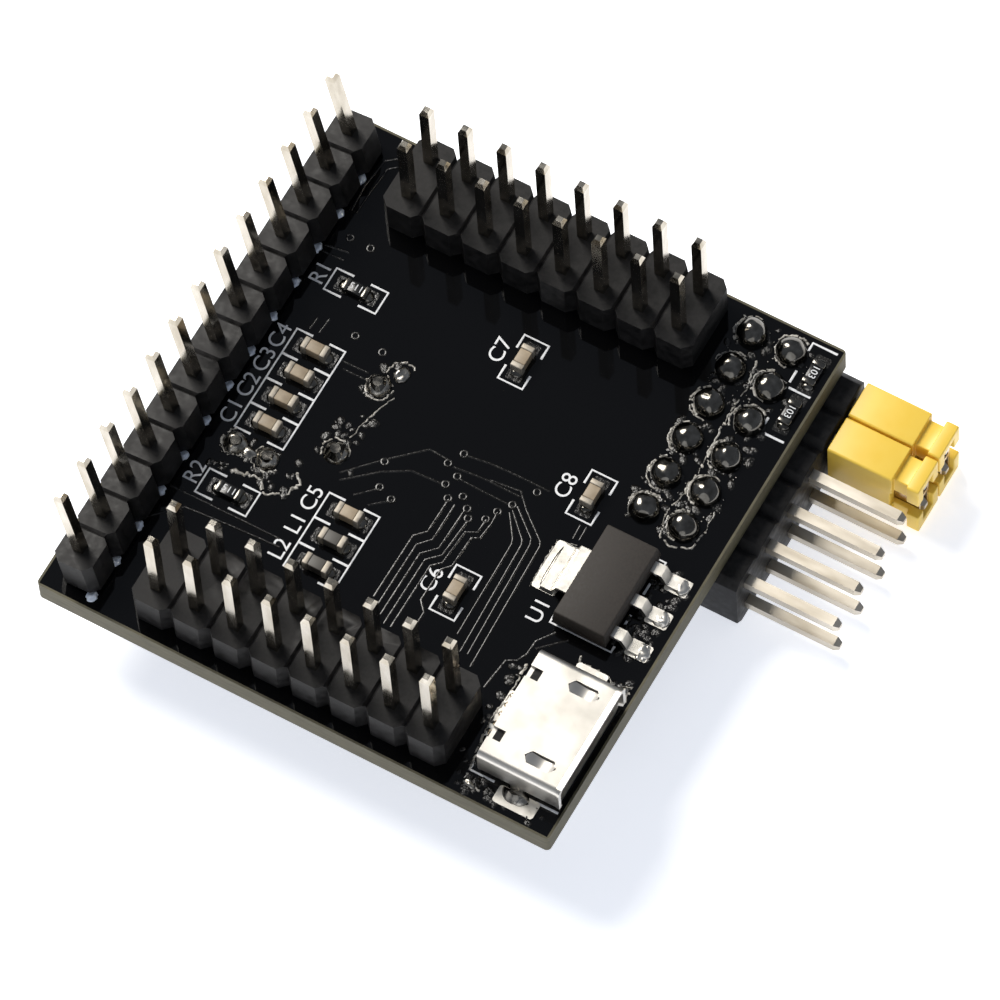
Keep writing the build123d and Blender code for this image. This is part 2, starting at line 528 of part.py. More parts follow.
with BuildPart() as crystal_leads:
    with BuildSketch(Plane.XY.offset(UNDER - CRYSTAL_RIM)):
        with Locations(*[(CRYSTAL_X, y) for y in crystal_lead_ys]):
            Circle(CRYSTAL_LEAD)
    extrude(amount=BOARD_T + CRYSTAL_RIM + CRYSTAL_ABOVE)
save(crystal_leads, "crystal_leads")
with BuildPart() as crystal_solder:
    with Locations(*[(CRYSTAL_X, y, 0) for y in crystal_lead_ys]):
        Cone(*CRYSTAL_CONE, align=(Align.CENTER, Align.CENTER, Align.MIN))
    add(crystal_leads.part, mode=Mode.SUBTRACT)
save(crystal_solder, "crystal_solder")

# ---- Watch crystal: small can lying under the board, its two wires turned up through it ----
watch_z = UNDER - WATCH_RADIUS
watch_foot_y = WATCH_Y - WATCH_END
with BuildPart() as watch_can:
    with BuildSketch(Plane(origin=(WATCH_X, watch_foot_y, watch_z), x_dir=(1, 0, 0), z_dir=(0, -1, 0))):
        Circle(WATCH_RADIUS)
    extrude(amount=WATCH_LONG)
    fillet(edges().group_by(Axis.Y)[0], radius=WATCH_EDGE)
save(watch_can, "watch_crystal_can")
with BuildPart() as watch_leads:
    for lead_x, turn_in in zip(watch_lead_xs, (1, -1)):
        near_x = WATCH_X - turn_in * WATCH_ROOT
        with BuildSketch(Plane.XY.offset(watch_z - WATCH_LEAD / 2)):
            with BuildLine():
                Polyline((near_x, watch_foot_y), (near_x, watch_foot_y + WATCH_STRAIGHT),
                         (lead_x, WATCH_Y))
            trace(line_width=WATCH_LEAD)
        extrude(amount=WATCH_LEAD)
        with BuildSketch(Plane.XY.offset(watch_z - WATCH_LEAD / 2)):
            with Locations((lead_x, WATCH_Y)):
                Circle(WATCH_LEAD / 2)
        extrude(amount=WATCH_ABOVE - watch_z + WATCH_LEAD / 2)
save(watch_leads, "watch_crystal_leads")
with BuildPart() as watch_solder:
    with Locations(*[(x, WATCH_Y, 0) for x in watch_lead_xs]):
        Cone(*WATCH_CONE, align=(Align.CENTER, Align.CENTER, Align.MIN))
    add(watch_leads.part, mode=Mode.SUBTRACT)
save(watch_solder, "watch_crystal_solder")

# ---- Reset button under the board: base, snap dome, pressed cover and plunger ----
button_floor = UNDER - BUTTON_BASE


def button_plane(z):
    return Plane(origin=(BUTTON_X, BUTTON_Y, z), x_dir=(1, 0, 0), z_dir=(0, 0, -1))


with BuildPart() as button_base:
    with BuildSketch(button_plane(UNDER)):
        Rectangle(BUTTON, BUTTON)
        chamfer(vertices(), length=BUTTON_CORNER)
    extrude(amount=BUTTON_BASE)
    with BuildSketch(button_plane(button_floor + WELL_DEEP)):
        Circle(WELL_RADIUS)
    extrude(amount=WELL_DEEP, mode=Mode.SUBTRACT)
save(button_base, "button_base")
with BuildPart() as button_dome:
    with BuildSketch(button_plane(button_floor + WELL_DEEP)):
        Circle(WELL_RADIUS - DOME_SLACK)
    extrude(amount=DOME_THICK)
save(button_dome, "button_dome")
with BuildPart() as button_cover:
    with BuildSketch(button_plane(button_floor)):
        Rectangle(BUTTON, BUTTON)
        chamfer(vertices(), length=BUTTON_CORNER)
        Circle(PLUNGER_RADIUS + PLUNGER_SLACK, mode=Mode.SUBTRACT)
    extrude(amount=BUTTON_COVER)
save(button_cover, "button_cover")
with BuildPart() as button_plunger:
    with BuildSketch(button_plane(button_floor + FLANGE_GAP)):
        Circle(PLUNGER_RADIUS)
    extrude(amount=FLANGE_GAP + BUTTON_COVER + PLUNGER_OUT)
    chamfer(edges().group_by(Axis.Z)[0], length=PLUNGER_EDGE)
    with BuildSketch(button_plane(button_floor + FLANGE_GAP + FLANGE_THICK)):
        Circle(FLANGE_RADIUS)
    extrude(amount=FLANGE_THICK)
    with BuildSketch(button_plane(button_floor + FLANGE_GAP + FLANGE_THICK + STEM_LONG)):
        Circle(STEM_RADIUS)
    extrude(amount=STEM_LONG)
save(button_plunger, "button_plunger")
with BuildPart() as button_terminals:
    for turn in (0, 180):
        for dy in (-BUTTON_LEG_Y, BUTTON_LEG_Y):
            with BuildSketch(upright(BUTTON_X, BUTTON_Y + dy, UNDER, turn)):
                with BuildLine():
                    gull_profile(BUTTON / 2, BUTTON / 2 + BUTTON_LEG_REACH, BUTTON_LEG_RUN,
                                 BUTTON_LEG_THICK, BUTTON / 2, side=-1)
                make_face()
            extrude(amount=BUTTON_LEG_WIDE / 2, both=True)
save(button_terminals, "button_terminals")

# ---- Lamps and small chips on the underside ----
chips("led", [(-10.0, 9.0, ALONG_X), (-10.0, 7.0, ALONG_X)], LED_H, upward=False)
chips("under_capacitor", [(3.2, 7.3, ALONG_X), (-0.6, 7.3, ALONG_X), (7.0, 7.3, ALONG_X),
                          (3.2, -9.2, ALONG_X), (0.6, -9.2, ALONG_X), (-10.1, 1.6, ALONG_Y),
                          (-12.0, 1.6, ALONG_Y)], CAPACITOR_H, upward=False)
chips("under_resistor", [(-7.2, 9.0, ALONG_X), (-7.2, 7.0, ALONG_X), (5.8, -9.2, ALONG_X),
                         (-4.2, 9.0, ALONG_X)], RESISTOR_H, upward=False)
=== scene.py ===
import bpy
import bmesh
import math
import random
from mathutils import Matrix, Quaternion, Vector, noise


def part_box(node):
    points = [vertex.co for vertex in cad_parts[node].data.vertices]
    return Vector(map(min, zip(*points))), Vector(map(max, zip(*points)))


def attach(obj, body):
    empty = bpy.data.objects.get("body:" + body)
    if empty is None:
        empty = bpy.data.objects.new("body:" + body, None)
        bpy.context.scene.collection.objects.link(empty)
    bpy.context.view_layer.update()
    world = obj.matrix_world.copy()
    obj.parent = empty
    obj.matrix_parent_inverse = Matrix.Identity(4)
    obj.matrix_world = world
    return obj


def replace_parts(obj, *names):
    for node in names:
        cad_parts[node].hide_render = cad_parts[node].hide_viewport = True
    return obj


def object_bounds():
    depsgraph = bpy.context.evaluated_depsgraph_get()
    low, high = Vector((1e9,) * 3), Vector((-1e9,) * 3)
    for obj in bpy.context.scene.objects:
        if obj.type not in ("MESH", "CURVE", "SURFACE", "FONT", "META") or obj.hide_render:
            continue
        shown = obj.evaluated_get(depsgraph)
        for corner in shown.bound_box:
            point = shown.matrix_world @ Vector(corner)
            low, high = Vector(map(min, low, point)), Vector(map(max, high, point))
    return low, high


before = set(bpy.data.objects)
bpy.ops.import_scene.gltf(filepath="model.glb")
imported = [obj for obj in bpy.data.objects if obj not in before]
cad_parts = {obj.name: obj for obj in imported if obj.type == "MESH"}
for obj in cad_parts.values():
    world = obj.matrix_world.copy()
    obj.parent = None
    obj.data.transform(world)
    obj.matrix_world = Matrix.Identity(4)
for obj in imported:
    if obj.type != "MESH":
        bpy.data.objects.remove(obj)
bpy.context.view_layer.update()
MM = 0.001

# ---- View and studio ----
# The board lies pins up, seen from above its near right corner through a long lens, on a white
# card. One warm soft box stands high on the left and the rest of the room is dim, so the black board
# stays black and only what leans towards the box shines.
AZIMUTH = math.radians(34.03)
ELEVATION = math.radians(63.61)
ROLL = math.radians(4.964)
DISTANCE = 0.5551
LENS = 351.32
AIM = Vector((3.869, -0.279, 0.0)) * MM


def add_object(name, data):
    """Puts an object with that data in the scene, at the origin."""
    obj = bpy.data.objects.new(name, data)
    bpy.context.scene.collection.objects.link(obj)
    return obj


view_back = Vector((math.sin(AZIMUTH) * math.cos(ELEVATION), -math.cos(AZIMUTH) * math.cos(ELEVATION),
                    math.sin(ELEVATION)))
camera = add_object("camera", bpy.data.cameras.new("camera"))
camera.data.lens = LENS
camera.data.clip_start = 0.05
camera.location = AIM + view_back * DISTANCE
camera.rotation_mode = "QUATERNION"
camera.rotation_quaternion = (-view_back).to_track_quat("-Z", "Y") @ Quaternion((0, 0, 1), -ROLL)
bpy.context.scene.camera = camera
bpy.context.scene.view_settings.view_transform = "Standard"


def soft_box(name, direction, distance, size, watts, colour):
    """Round light that stands in that direction from the board and faces it."""
    light = bpy.data.lights.new(name, "AREA")
    light.shape = "DISK"
    light.size = size
    light.energy = watts
    light.color = colour
    lamp = add_object(name, light)
    lamp.location = AIM + direction.normalized() * distance
    lamp.rotation_mode = "QUATERNION"
    lamp.rotation_quaternion = (-direction).to_track_quat("-Z", "Y")


soft_box("key", Vector((-0.605, 0.234, 0.761)),
         distance=0.6, size=0.34, watts=4.5, colour=(1.0, 0.965, 0.91))
soft_box("front", Vector((0.3, -0.9, 0.35)),
         distance=0.9, size=0.9, watts=1.7, colour=(0.97, 0.98, 1.0))


def linear(hex_colour):
    """sRGB hex to a linear colour with alpha."""
    parts = [int(hex_colour[i:i + 2], 16) / 255 for i in (1, 3, 5)]
    return [c / 12.92 if c <= 0.04045 else ((c + 0.055) / 1.055) ** 2.4 for c in parts] + [1.0]


world = bpy.data.worlds.new("dim room")
bpy.context.scene.world = world
world.use_nodes = True
sky = next(n for n in world.node_tree.nodes if n.type == "BACKGROUND")
sky.inputs["Color"].default_value = linear("#d3dcec")
sky.inputs["Strength"].default_value = 0.28


def principled(material):
    """The material's own shader."""
    return next(n for n in material.node_tree.nodes if n.type == "BSDF_PRINCIPLED")


def new_material(name, colour, **sockets):
    """Material with constants on the shader's sockets, named with underscores for spaces."""
    material = bpy.data.materials.new(name)
    material.use_nodes = True
    inputs = principled(material).inputs
    inputs["Base Color"].default_value = linear(colour)
    for key, value in sockets.items():
        inputs[key.replace("_", " ")].default_value = value
    return material


# Matt card that gives off a little light of its own, so the shadows on it stay pale.
CARD_HALF = 1.5
CARD_GAP = 0.02
white_card = new_material("white card", "#fdfdfd", Roughness=0.8, Specular_IOR_Level=0.1,
                          Emission_Color=linear("#f2f6ff"), Emission_Strength=0.66)
card = bmesh.new()
bmesh.ops.create_grid(card, x_segments=1, y_segments=1, size=CARD_HALF)
bmesh.ops.translate(card, verts=card.verts, vec=(0, 0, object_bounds()[0][2] - CARD_GAP * MM))
floor = add_object("floor", bpy.data.meshes.new("floor"))
card.to_mesh(floor.data)
floor.data.materials.append(white_card)

# ---- Bare board ----
# Glass-epoxy laminate under glossy black solder mask, drilled and routed to size. The mask stops just
# short of the routed edge, so a thin olive line of bare laminate shows all round.
MASK_BLACK = "#070708"
MASK_INSET = 0.14
MASK_ROUGHNESS, LAMINATE_ROUGHNESS = 0.05, 0.6
CLOTH_PER_MM = (0.9, 0.9, 9.0)


def box_mm(node):
    """Lowest and highest corner of a CAD node, in mm."""
    return [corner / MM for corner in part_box(node)]


def paint(node, material):
    """Gives a CAD node its material."""
    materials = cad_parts[node].data.materials
    materials.clear()
    materials.append(material)


def add_node(material, kind, settings=None, inputs=None):
    """Adds one node; inputs are constants, or (node, output) pairs to link from."""
    tree = material.node_tree
    node = tree.nodes.new(kind)
    for key, value in (settings or {}).items():
        setattr(node, key, value)
    for key, value in (inputs or {}).items():
        if isinstance(value, tuple) and isinstance(value[0], bpy.types.Node):
            tree.links.new(value[0].outputs[value[1]], node.inputs[key])
        else:
            node.inputs[key].default_value = value
    return node


board_low, board_high = box_mm("pcb")
# The mask is black and smooth as poured varnish. The cut laminate is matt, in layers of glass cloth
# about 0.1 mm thick.
mask = new_material("black solder mask over laminate", MASK_BLACK, Specular_IOR_Level=0.3)
place = add_node(mask, "ShaderNodeTexCoord")
axes = add_node(mask, "ShaderNodeSeparateXYZ", inputs={"Vector": (place, "Object")})
within = []
for axis, half in (("X", board_high.x), ("Y", board_high.y)):
    off_centre = add_node(mask, "ShaderNodeMath", {"operation": "ABSOLUTE"}, {0: (axes, axis)})
    within.append(add_node(mask, "ShaderNodeMath", {"operation": "LESS_THAN"},
                           {0: (off_centre, 0), 1: (half - MASK_INSET) * MM}))
inside = add_node(mask, "ShaderNodeMath", {"operation": "MULTIPLY"}, {0: (within[0], 0), 1: (within[1], 0)})
cloth = add_node(mask, "ShaderNodeMapping",
                 inputs={"Vector": (place, "Object"), "Scale": [count / MM for count in CLOTH_PER_MM]})
layers = add_node(mask, "ShaderNodeTexNoise", inputs={"Vector": (cloth, "Vector"), "Scale": 1.0})
laminate = add_node(mask, "ShaderNodeValToRGB", inputs={"Fac": (layers, "Fac")})
laminate.color_ramp.elements[0].color = linear("#3a372b")
laminate.color_ramp.elements[1].color = linear("#6b6650")
colour = add_node(mask, "ShaderNodeMix", {"data_type": "RGBA"},
                  {"Factor": (inside, 0), 6: (laminate, "Color"), 7: linear(MASK_BLACK)})
mask.node_tree.links.new(colour.outputs[2], principled(mask).inputs["Base Color"])
gloss = add_node(mask, "ShaderNodeMapRange",
                 inputs={"Value": (inside, 0), "To Min": LAMINATE_ROUGHNESS, "To Max": MASK_ROUGHNESS})
mask.node_tree.links.new(gloss.outputs["Result"], principled(mask).inputs["Roughness"])
paint("pcb", mask)

# ---- Traces and vias ----
# Copper etched on the laminate under the mask: the tracks, and the plated rings round the vias, lift
# the mask into soft ridges. A track is a list of its corners, in mm.
TRACE_WIDE, TRACE_TALL = 0.15, 0.04
RING_RADIUS, RING_WIDE, RING_TALL = 0.2, 0.15, 0.05
TRACES = [
    # from the left header
    [(-12.90, 11.87), (-13.02, 13.61), (-12.81, 15.54), (-11.91, 16.27)],
    [(-12.55, 11.82), (-12.53, 13.52), (-12.38, 15.17), (-11.65, 15.81)],
    [(-13.13, 9.20), (-11.62, 9.42)],
    [(-13.01, 8.79), (-11.64, 8.81)],
    [(-11.15, 4.00), (-11.10, 4.87)],
    [(-10.54, 4.09), (-10.46, 5.10)],
    [(-8.41, 3.15), (-6.74, 3.18)],
    [(-8.17, 2.72), (-6.60, 2.73)],
    [(-13.14, -8.43), (-5.94, -8.39)],
    [(-13.39, -10.86), (-11.70, -9.22), (-8.87, -9.01), (-5.68, -8.85)],
    # across the middle
    [(-5.01, -3.12), (-3.24, -1.24), (-1.23, 0.62), (0.02, 0.53)],
    [(-4.78, -3.53), (-2.95, -1.93), (-1.48, -1.06), (0.65, -0.95)],
    [(0.70, 1.26), (2.22, 1.48), (4.14, 1.55), (6.12, 1.54)],
    [(0.48, 0.29), (2.36, 0.47), (4.77, 0.45)],
    [(1.10, -0.22), (3.00, -0.27), (4.75, -0.29)],
    [(-3.63, -3.99), (-2.51, -2.90)],
    [(-2.57, -4.14), (-1.47, -3.18)],
    # down to the near header and the USB socket
    [(2.74, 0.55), (4.66, 0.78), (5.51, -0.12), (7.18, -1.47), (7.32, -1.76), (7.58, -10.22)],
    [(4.95, -0.15), (6.67, -1.57), (6.78, -1.93), (7.06, -9.60)],
    [(4.82, -0.49), (6.23, -1.87), (6.35, -2.16), (6.61, -9.67)],
    [(4.75, -0.71), (5.73, -2.08), (5.84, -2.44), (5.93, -8.77)],
    [(4.14, -1.04), (4.19, -1.83), (4.07, -2.93), (3.63, -3.16), (3.55, -5.2), (3.1, -5.7), (3.05, -7.9),
     (3.6, -8.5), (3.6, -10.2)],
    [(3.82, -1.76), (3.77, -2.69), (3.13, -3.00), (2.97, -5.3), (2.45, -5.8), (2.4, -10.2)],
    [(2.92, -2.34), (2.72, -4.9), (2.0, -5.6), (1.95, -10.2)],
    [(2.44, -1.79), (2.34, -4.6), (1.55, -5.4), (1.5, -9.8)],
    [(1.78, -1.78), (1.75, -4.3), (1.1, -5.0), (1.05, -9.4)],
    [(1.30, -1.64), (1.25, -4.0), (0.65, -4.6), (0.6, -9.0)],
    # round the regulator
    [(10.78, -6.04), (10.05, -7.07), (10.01, -8.00), (9.70, -8.62), (9.14, -8.93), (8.90, -10.96)],
    [(11.64, -6.12), (10.27, -7.46)],
    [(8.73, -0.45), (8.68, 0.51)],
    [(9.09, -0.35), (9.07, 0.55)],
]
VIAS = [(0.64, 1.29), (0.13, 0.34), (0.67, -0.88), (1.02, -0.14), (1.23, -1.59), (1.93, -1.09),
        (2.87, -2.16), (3.78, -1.73), (4.13, -0.99), (4.67, -0.21), (-2.54, -2.84), (-1.58, -3.19),
        (-12.04, 10.28), (-10.66, 10.23), (-8.60, 4.90), (-6.70, 4.72), (-3.10, -1.29), (2.52, -1.65),
        (5.52, 1.15)]


def mottle(material, low, high, per_mm, roughness=None, bump=0.0, stretch=(1, 1, 1)):
    """Breaks a surface up with noise, `per_mm` lumps to the mm: its colour between two hex values, and
    its roughness between two values and a bump in mm where these are given. A grain finer than about
    0.1 mm wouldn't show, so it is drawn as a coarser cloud."""
    shader = principled(material)
    place = add_node(material, "ShaderNodeTexCoord")
    scaled = add_node(material, "ShaderNodeMapping",
                      inputs={"Vector": (place, "Object"), "Scale": [per_mm / MM * s for s in stretch]})
    cloud = add_node(material, "ShaderNodeTexNoise",
                     inputs={"Vector": (scaled, "Vector"), "Scale": 1.0, "Detail": 3.0})
    ramp = add_node(material, "ShaderNodeValToRGB", inputs={"Fac": (cloud, "Fac")})
    for element, position, shade in zip(ramp.color_ramp.elements, (0.3, 0.7), (low, high)):
        element.position = position
        element.color = linear(shade)
    material.node_tree.links.new(ramp.outputs["Color"], shader.inputs["Base Color"])
    if roughness:
        spread = add_node(material, "ShaderNodeMapRange", inputs={"Value": (cloud, "Fac"),
                          "From Min": 0.3, "From Max": 0.7, "To Min": roughness[0], "To Max": roughness[1]})
        material.node_tree.links.new(spread.outputs["Result"], shader.inputs["Roughness"])
    if bump:
        raised = add_node(material, "ShaderNodeBump",
                          inputs={"Height": (cloud, "Fac"), "Strength": 1.0, "Distance": bump * MM})
        material.node_tree.links.new(raised.outputs["Normal"], shader.inputs["Normal"])


def finish_piece(name, shape, material, body="board", smooth=40):
    """Turns a bmesh into a piece that rides on a body, shaded round over edges under `smooth` degrees."""
    bmesh.ops.recalc_face_normals(shape, faces=shape.faces)
    for face in shape.faces:
        face.smooth = smooth > 0
    for edge in shape.edges:
        if len(edge.link_faces) == 2:
            edge.smooth = edge.calc_face_angle(0.0) < math.radians(smooth)
    mesh = bpy.data.meshes.new(name)
    shape.to_mesh(mesh)
    shape.free()
    mesh.materials.append(material)
    piece = add_object(name, mesh)
    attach(piece, body)
    return piece


def mesh_of(obj):
    """The mesh of a curve or text object, which is then removed."""
    mesh = bpy.data.meshes.new_from_object(obj.evaluated_get(bpy.context.evaluated_depsgraph_get()))
    bpy.data.objects.remove(obj)
    return mesh


def ribbons(shape, paths, width, tall, z=0.0):
    """Adds round-backed lines along paths of (x, y), all in mm, half sunk in the face at height z."""
    curve = bpy.data.curves.new("line", "CURVE")
    curve.dimensions = "3D"
    curve.bevel_depth = width / 2 * MM
    curve.bevel_resolution = 2
    curve.use_fill_caps = True
    for path in paths:
        spline = curve.splines.new("POLY")
        spline.points.add(len(path) - 1)
        for point, (x, y) in zip(spline.points, path):
            point.co = (x * MM, y * MM, 0.0, 1.0)
    mesh = mesh_of(add_object("line", curve))
    mesh.transform(Matrix.Translation((0, 0, z * MM)) @ Matrix.Diagonal((1, 1, 2 * tall / width, 1)))
    shape.from_mesh(mesh)


def arc(x, y, radius, start, end, steps=10):
    """Points along an arc, in mm, from one angle to another, in degrees."""
    angles = [math.radians(start + (end - start) * i / steps) for i in range(steps + 1)]
    return [(x + radius * math.cos(a), y + radius * math.sin(a)) for a in angles]


# Copper shows through the thin mask as a warmer, duller black.
varnish = new_material("solder mask over copper", "#131210", Roughness=0.16)
mottle(varnish, "#0c0b0a", "#1d1b18", 5.0, roughness=(0.1, 0.3), bump=0.02)
tracks = bmesh.new()
ribbons(tracks, TRACES, TRACE_WIDE, TRACE_TALL)
finish_piece("traces", tracks, varnish)
rings = bmesh.new()
ribbons(rings, [arc(x, y, RING_RADIUS, 0, 360, 18) for x, y in VIAS], RING_WIDE, RING_TALL)
finish_piece("vias", rings, varnish)

# ---- Printing ----
# White ink, screen-printed on the mask: a bracketed outline round each part and its number beside it.
# An outline is (x from, x to, y from, y to, arm, rungs, upright), in mm.
INK_WIDE, INK_TALL = 0.15, 0.015
OUTLINES = (
    # R1, C1 to C4, R2, and C5 with L1 and L2
    (-11.75, -8.33, 6.67, 8.2, 1.15, (), False),
    (-11.8, -8.6, -3.42, 3.72, 1.05, (1.95, 0.15, -1.65), False),
    (-11.7, -8.35, -8.1, -6.42, 1.15, (), False),
    (-4.9, -1.6, -9.75, -4.5, 1.05, (-6.25, -8.05), False),
    # C7, C8 and C6
    (-0.1, 1.5, 6.46, 9.6, 0.95, (), True),
    (7.55, 9.2, 0.8, 3.9, 0.95, (), True),
    (3.73, 5.35, -8.15, -5.0, 0.95, (), True),
)
CORNER_MARKS = [
    # far right resistors
    [(14.7, 16.3), (14.7, 17.0), (16.3, 17.0)], [(14.72, 15.0), (14.72, 14.15)],
    [(14.84, 13.83), (16.25, 13.83)], [(14.75, 11.6), (14.75, 10.95)], [(14.72, 10.6), (16.3, 10.6)],
    # regulator
    [(10.15, -5.15), (10.15, -5.62), (14.1, -5.62), (14.1, -5.2)], [(13.95, -0.75), (13.95, -1.6)],
    [(13.95, -3.05), (13.95, -3.95)], [(10.15, 0.3), (10.15, 0.75), (14.1, 0.75), (14.1, 0.3)],
    # USB socket
    [(10.7, -15.2), (10.7, -15.75), (12.3, -15.75)], [(14.95, -15.75), (16.4, -15.75)],
]
PART_NUMBERS = [
    ("R1", -12.4, 7.5, 90), ("C4", -12.45, 2.85, 90), ("C3", -12.45, 1.1, 90), ("C2", -12.45, -0.75, 90),
    ("C1", -12.45, -2.65, 90), ("R2", -12.3, -7.0, 90), ("C5", -5.6, -5.3, 90), ("L1", -5.6, -7.1, 90),
    ("L2", -5.6, -8.95, 90), ("C7", -0.85, 8.05, 90), ("C8", 6.75, 2.3, 90), ("C6", 2.95, -6.5, 90),
    ("U1", 9.25, -5.3, 90),
]


def outline(x0, x1, y0, y1, arm, rungs=(), upright=False):
    """Two end lines with arms that reach in along the part, and an arm on each side at every rung."""
    if upright:
        return [[(x0, y0 + arm), (x0, y0), (x1, y0), (x1, y0 + arm)],
                [(x0, y1 - arm), (x0, y1), (x1, y1), (x1, y1 - arm)]]
    lines = [[(x0 + arm, y0), (x0, y0), (x0, y1), (x0 + arm, y1)],
             [(x1 - arm, y0), (x1, y0), (x1, y1), (x1 - arm, y1)]]
    for y in rungs:
        lines += [[(x0, y), (x0 + arm, y)], [(x1 - arm, y), (x1, y)]]
    return lines


def lettering(shape, words, size, z, under=False):
    """Adds flat characters, in mm: each word is (text, x, y, turn), its capitals 0.7 of size tall."""
    for text, x, y, turn in words:
        curve = bpy.data.curves.new("word", "FONT")
        curve.body = text
        curve.size = size * MM
        curve.align_x = "CENTER"
        curve.align_y = "CENTER"
        curve.extrude = 0.012 * MM
        mesh = mesh_of(add_object("word", curve))
        face_down = Matrix.Rotation(math.pi, 4, "X") if under else Matrix.Identity(4)
        mesh.transform(Matrix.Translation((x * MM, y * MM, z * MM)) @ face_down
                       @ Matrix.Rotation(math.radians(turn), 4, "Z"))
        shape.from_mesh(mesh)


# Matt ink, slightly uneven where the screen let less through.
ink = new_material("white ink", "#e6e7e9", Roughness=0.6)
mottle(ink, "#d5d7da", "#f0f1f2", 5.0)
printed = bmesh.new()
printed_lines = [line for sizes in OUTLINES for line in outline(*sizes)]
ribbons(printed, printed_lines + CORNER_MARKS, INK_WIDE, INK_TALL)
lettering(printed, PART_NUMBERS, 1.35, 0.0)
finish_piece("printing", printed, ink, smooth=0)

# ---- Pin headers ----
# Black glass-filled polyester, moulded in one strip with V grooves where it can be snapped, on square
# brass pins that are drawn, plated bright and pressed through it.
GROOVE_HALF = 0.15
GROOVE_DEPTH = 0.2


def merged(node):
    """Welded copy of a CAD node's mesh, with its flat faces whole again."""
    shape = bmesh.new()
    shape.from_mesh(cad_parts[node].data)
    bmesh.ops.remove_doubles(shape, verts=shape.verts, dist=0.002 * MM)
    bmesh.ops.dissolve_limit(shape, angle_limit=math.radians(1), verts=shape.verts, edges=shape.edges)
    return shape


def cut_grooves(shape, node, axis, parts):
    """Cuts a V groove across a header's top between each two of its parts along that axis."""
    low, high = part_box(node)
    across = Vector((axis == 0, axis == 1, 0))
    for i in range(1, parts):
        cut = low[axis] + (high[axis] - low[axis]) * i / parts
        for side in (-GROOVE_HALF, GROOVE_HALF, 0.0):
            everything = shape.verts[:] + shape.edges[:] + shape.faces[:]
            bmesh.ops.bisect_plane(shape, geom=everything, plane_co=across * (cut + side * MM),
                                   plane_no=across)
        for vert in shape.verts:
            if abs(vert.co[axis] - cut) < 0.01 * MM and vert.co.z > (low.z + high.z) / 2:
                vert.co.z -= GROOVE_DEPTH * MM


def softened(node, width, material, body="board", grooves=None):
    """Stands in for a CAD node, with its sharp edges rounded by `width` mm. Grooves are given as the
    axis that the header's parts follow each other along and the number of parts."""
    shape = merged(node)
    if grooves:
        cut_grooves(shape, node, *grooves)
    sharp = [e for e in shape.edges if len(e.link_faces) == 2 and e.calc_face_angle(0.0) > 0.5]
    bmesh.ops.bevel(shape, geom=sharp, offset=width * MM, offset_type="OFFSET", segments=3, profile=0.5,
                    affect="EDGES", material=-1, clamp_overlap=True)
    piece = finish_piece(f"{node}_rounded", shape, material, body)
    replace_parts(piece, node)


# Glass fibre leaves the moulded skin matt and faintly cloudy.
moulding = new_material("moulded black polyester", "#232221", Roughness=0.5, Specular_IOR_Level=0.16)
mottle(moulding, "#161616", "#2b2a2a", 2.2, roughness=(0.38, 0.6))
# Bright plate over drawn brass, with faint streaks along the pin.
plated = new_material("bright plated brass", "#b8b1a4", Metallic=1.0, Roughness=0.14)
mottle(plated, "#a69d8c", "#cac4b8", 1.2, roughness=(0.1, 0.2), stretch=(1, 1, 0.3))
# The same plate, dulled where caps have been pushed on and pulled off.
scuffed = new_material("scuffed plated brass", "#cfc6b6", Metallic=1.0, Roughness=0.36)
mottle(scuffed, "#bfb5a3", "#d9d2c5", 1.0, roughness=(0.32, 0.42), stretch=(0.3, 1, 1))
for part, grooves in (("left", (1, 13)), ("far", (0, 8)), ("near", (0, 8))):
    softened(f"header_{part}_body", 0.05, moulding, grooves=grooves)
    paint(f"header_{part}_pins", plated)
softened("ra_header_body", 0.06, moulding)
paint("ra_header_upper_pins", scuffed)
paint("ra_header_lower_pins", scuffed)

# ---- Solder ----
# Tin alloy that froze in smooth domes round the right-angle header's pins, and in rougher dots where
# an iron only touched the board. It holds every pin and lead to its ring of copper.
DOME_LEAST_WIDTH = 1.0
DOME_RADII = (0.92, 0.92, 0.86)
DOT_RADII = (0.36, 0.4, 0.16)


def lumps(node):
    """Lowest and highest corner, in mm, of each separate lump of a CAD node."""
    shape = merged(node)
    left = set(shape.verts)
    found = []
    while left:
        lump = set()
        rim = [left.pop()]
        while rim:
            vert = rim.pop()
            lump.add(vert)
            beside = [e.other_vert(vert) for e in vert.link_edges]
            rim += [v for v in beside if v in left]
            left.difference_update(beside)
        found.append([[pick(v.co[i] for v in lump) / MM for i in range(3)] for pick in (min, max)])
    shape.free()
    return [(Vector(low), Vector(high)) for low, high in sorted(found)]


def middles(node):
    """Middle, in mm, of each separate lump of a CAD node."""
    return [(low + high) / 2 for low, high in lumps(node)]


def blob(shape, middle, radii, rough=0.0, grain=2.0, turn=0.0, detail=3):
    """Adds an ellipsoid, in mm, pushed in and out by up to `rough` mm in lumps `grain` to the mm."""
    place = Matrix.Translation(Vector(middle) * MM) @ Matrix.Rotation(math.radians(turn), 4, "Z")
    made = bmesh.ops.create_icosphere(shape, subdivisions=detail, radius=1.0,
                                      matrix=place @ Matrix.Diagonal([r * MM for r in radii] + [1]))
    for vert in made["verts"]:
        outward = (vert.co - place.translation).normalized()
        vert.co += outward * noise.noise(vert.co * grain / MM) * rough * MM


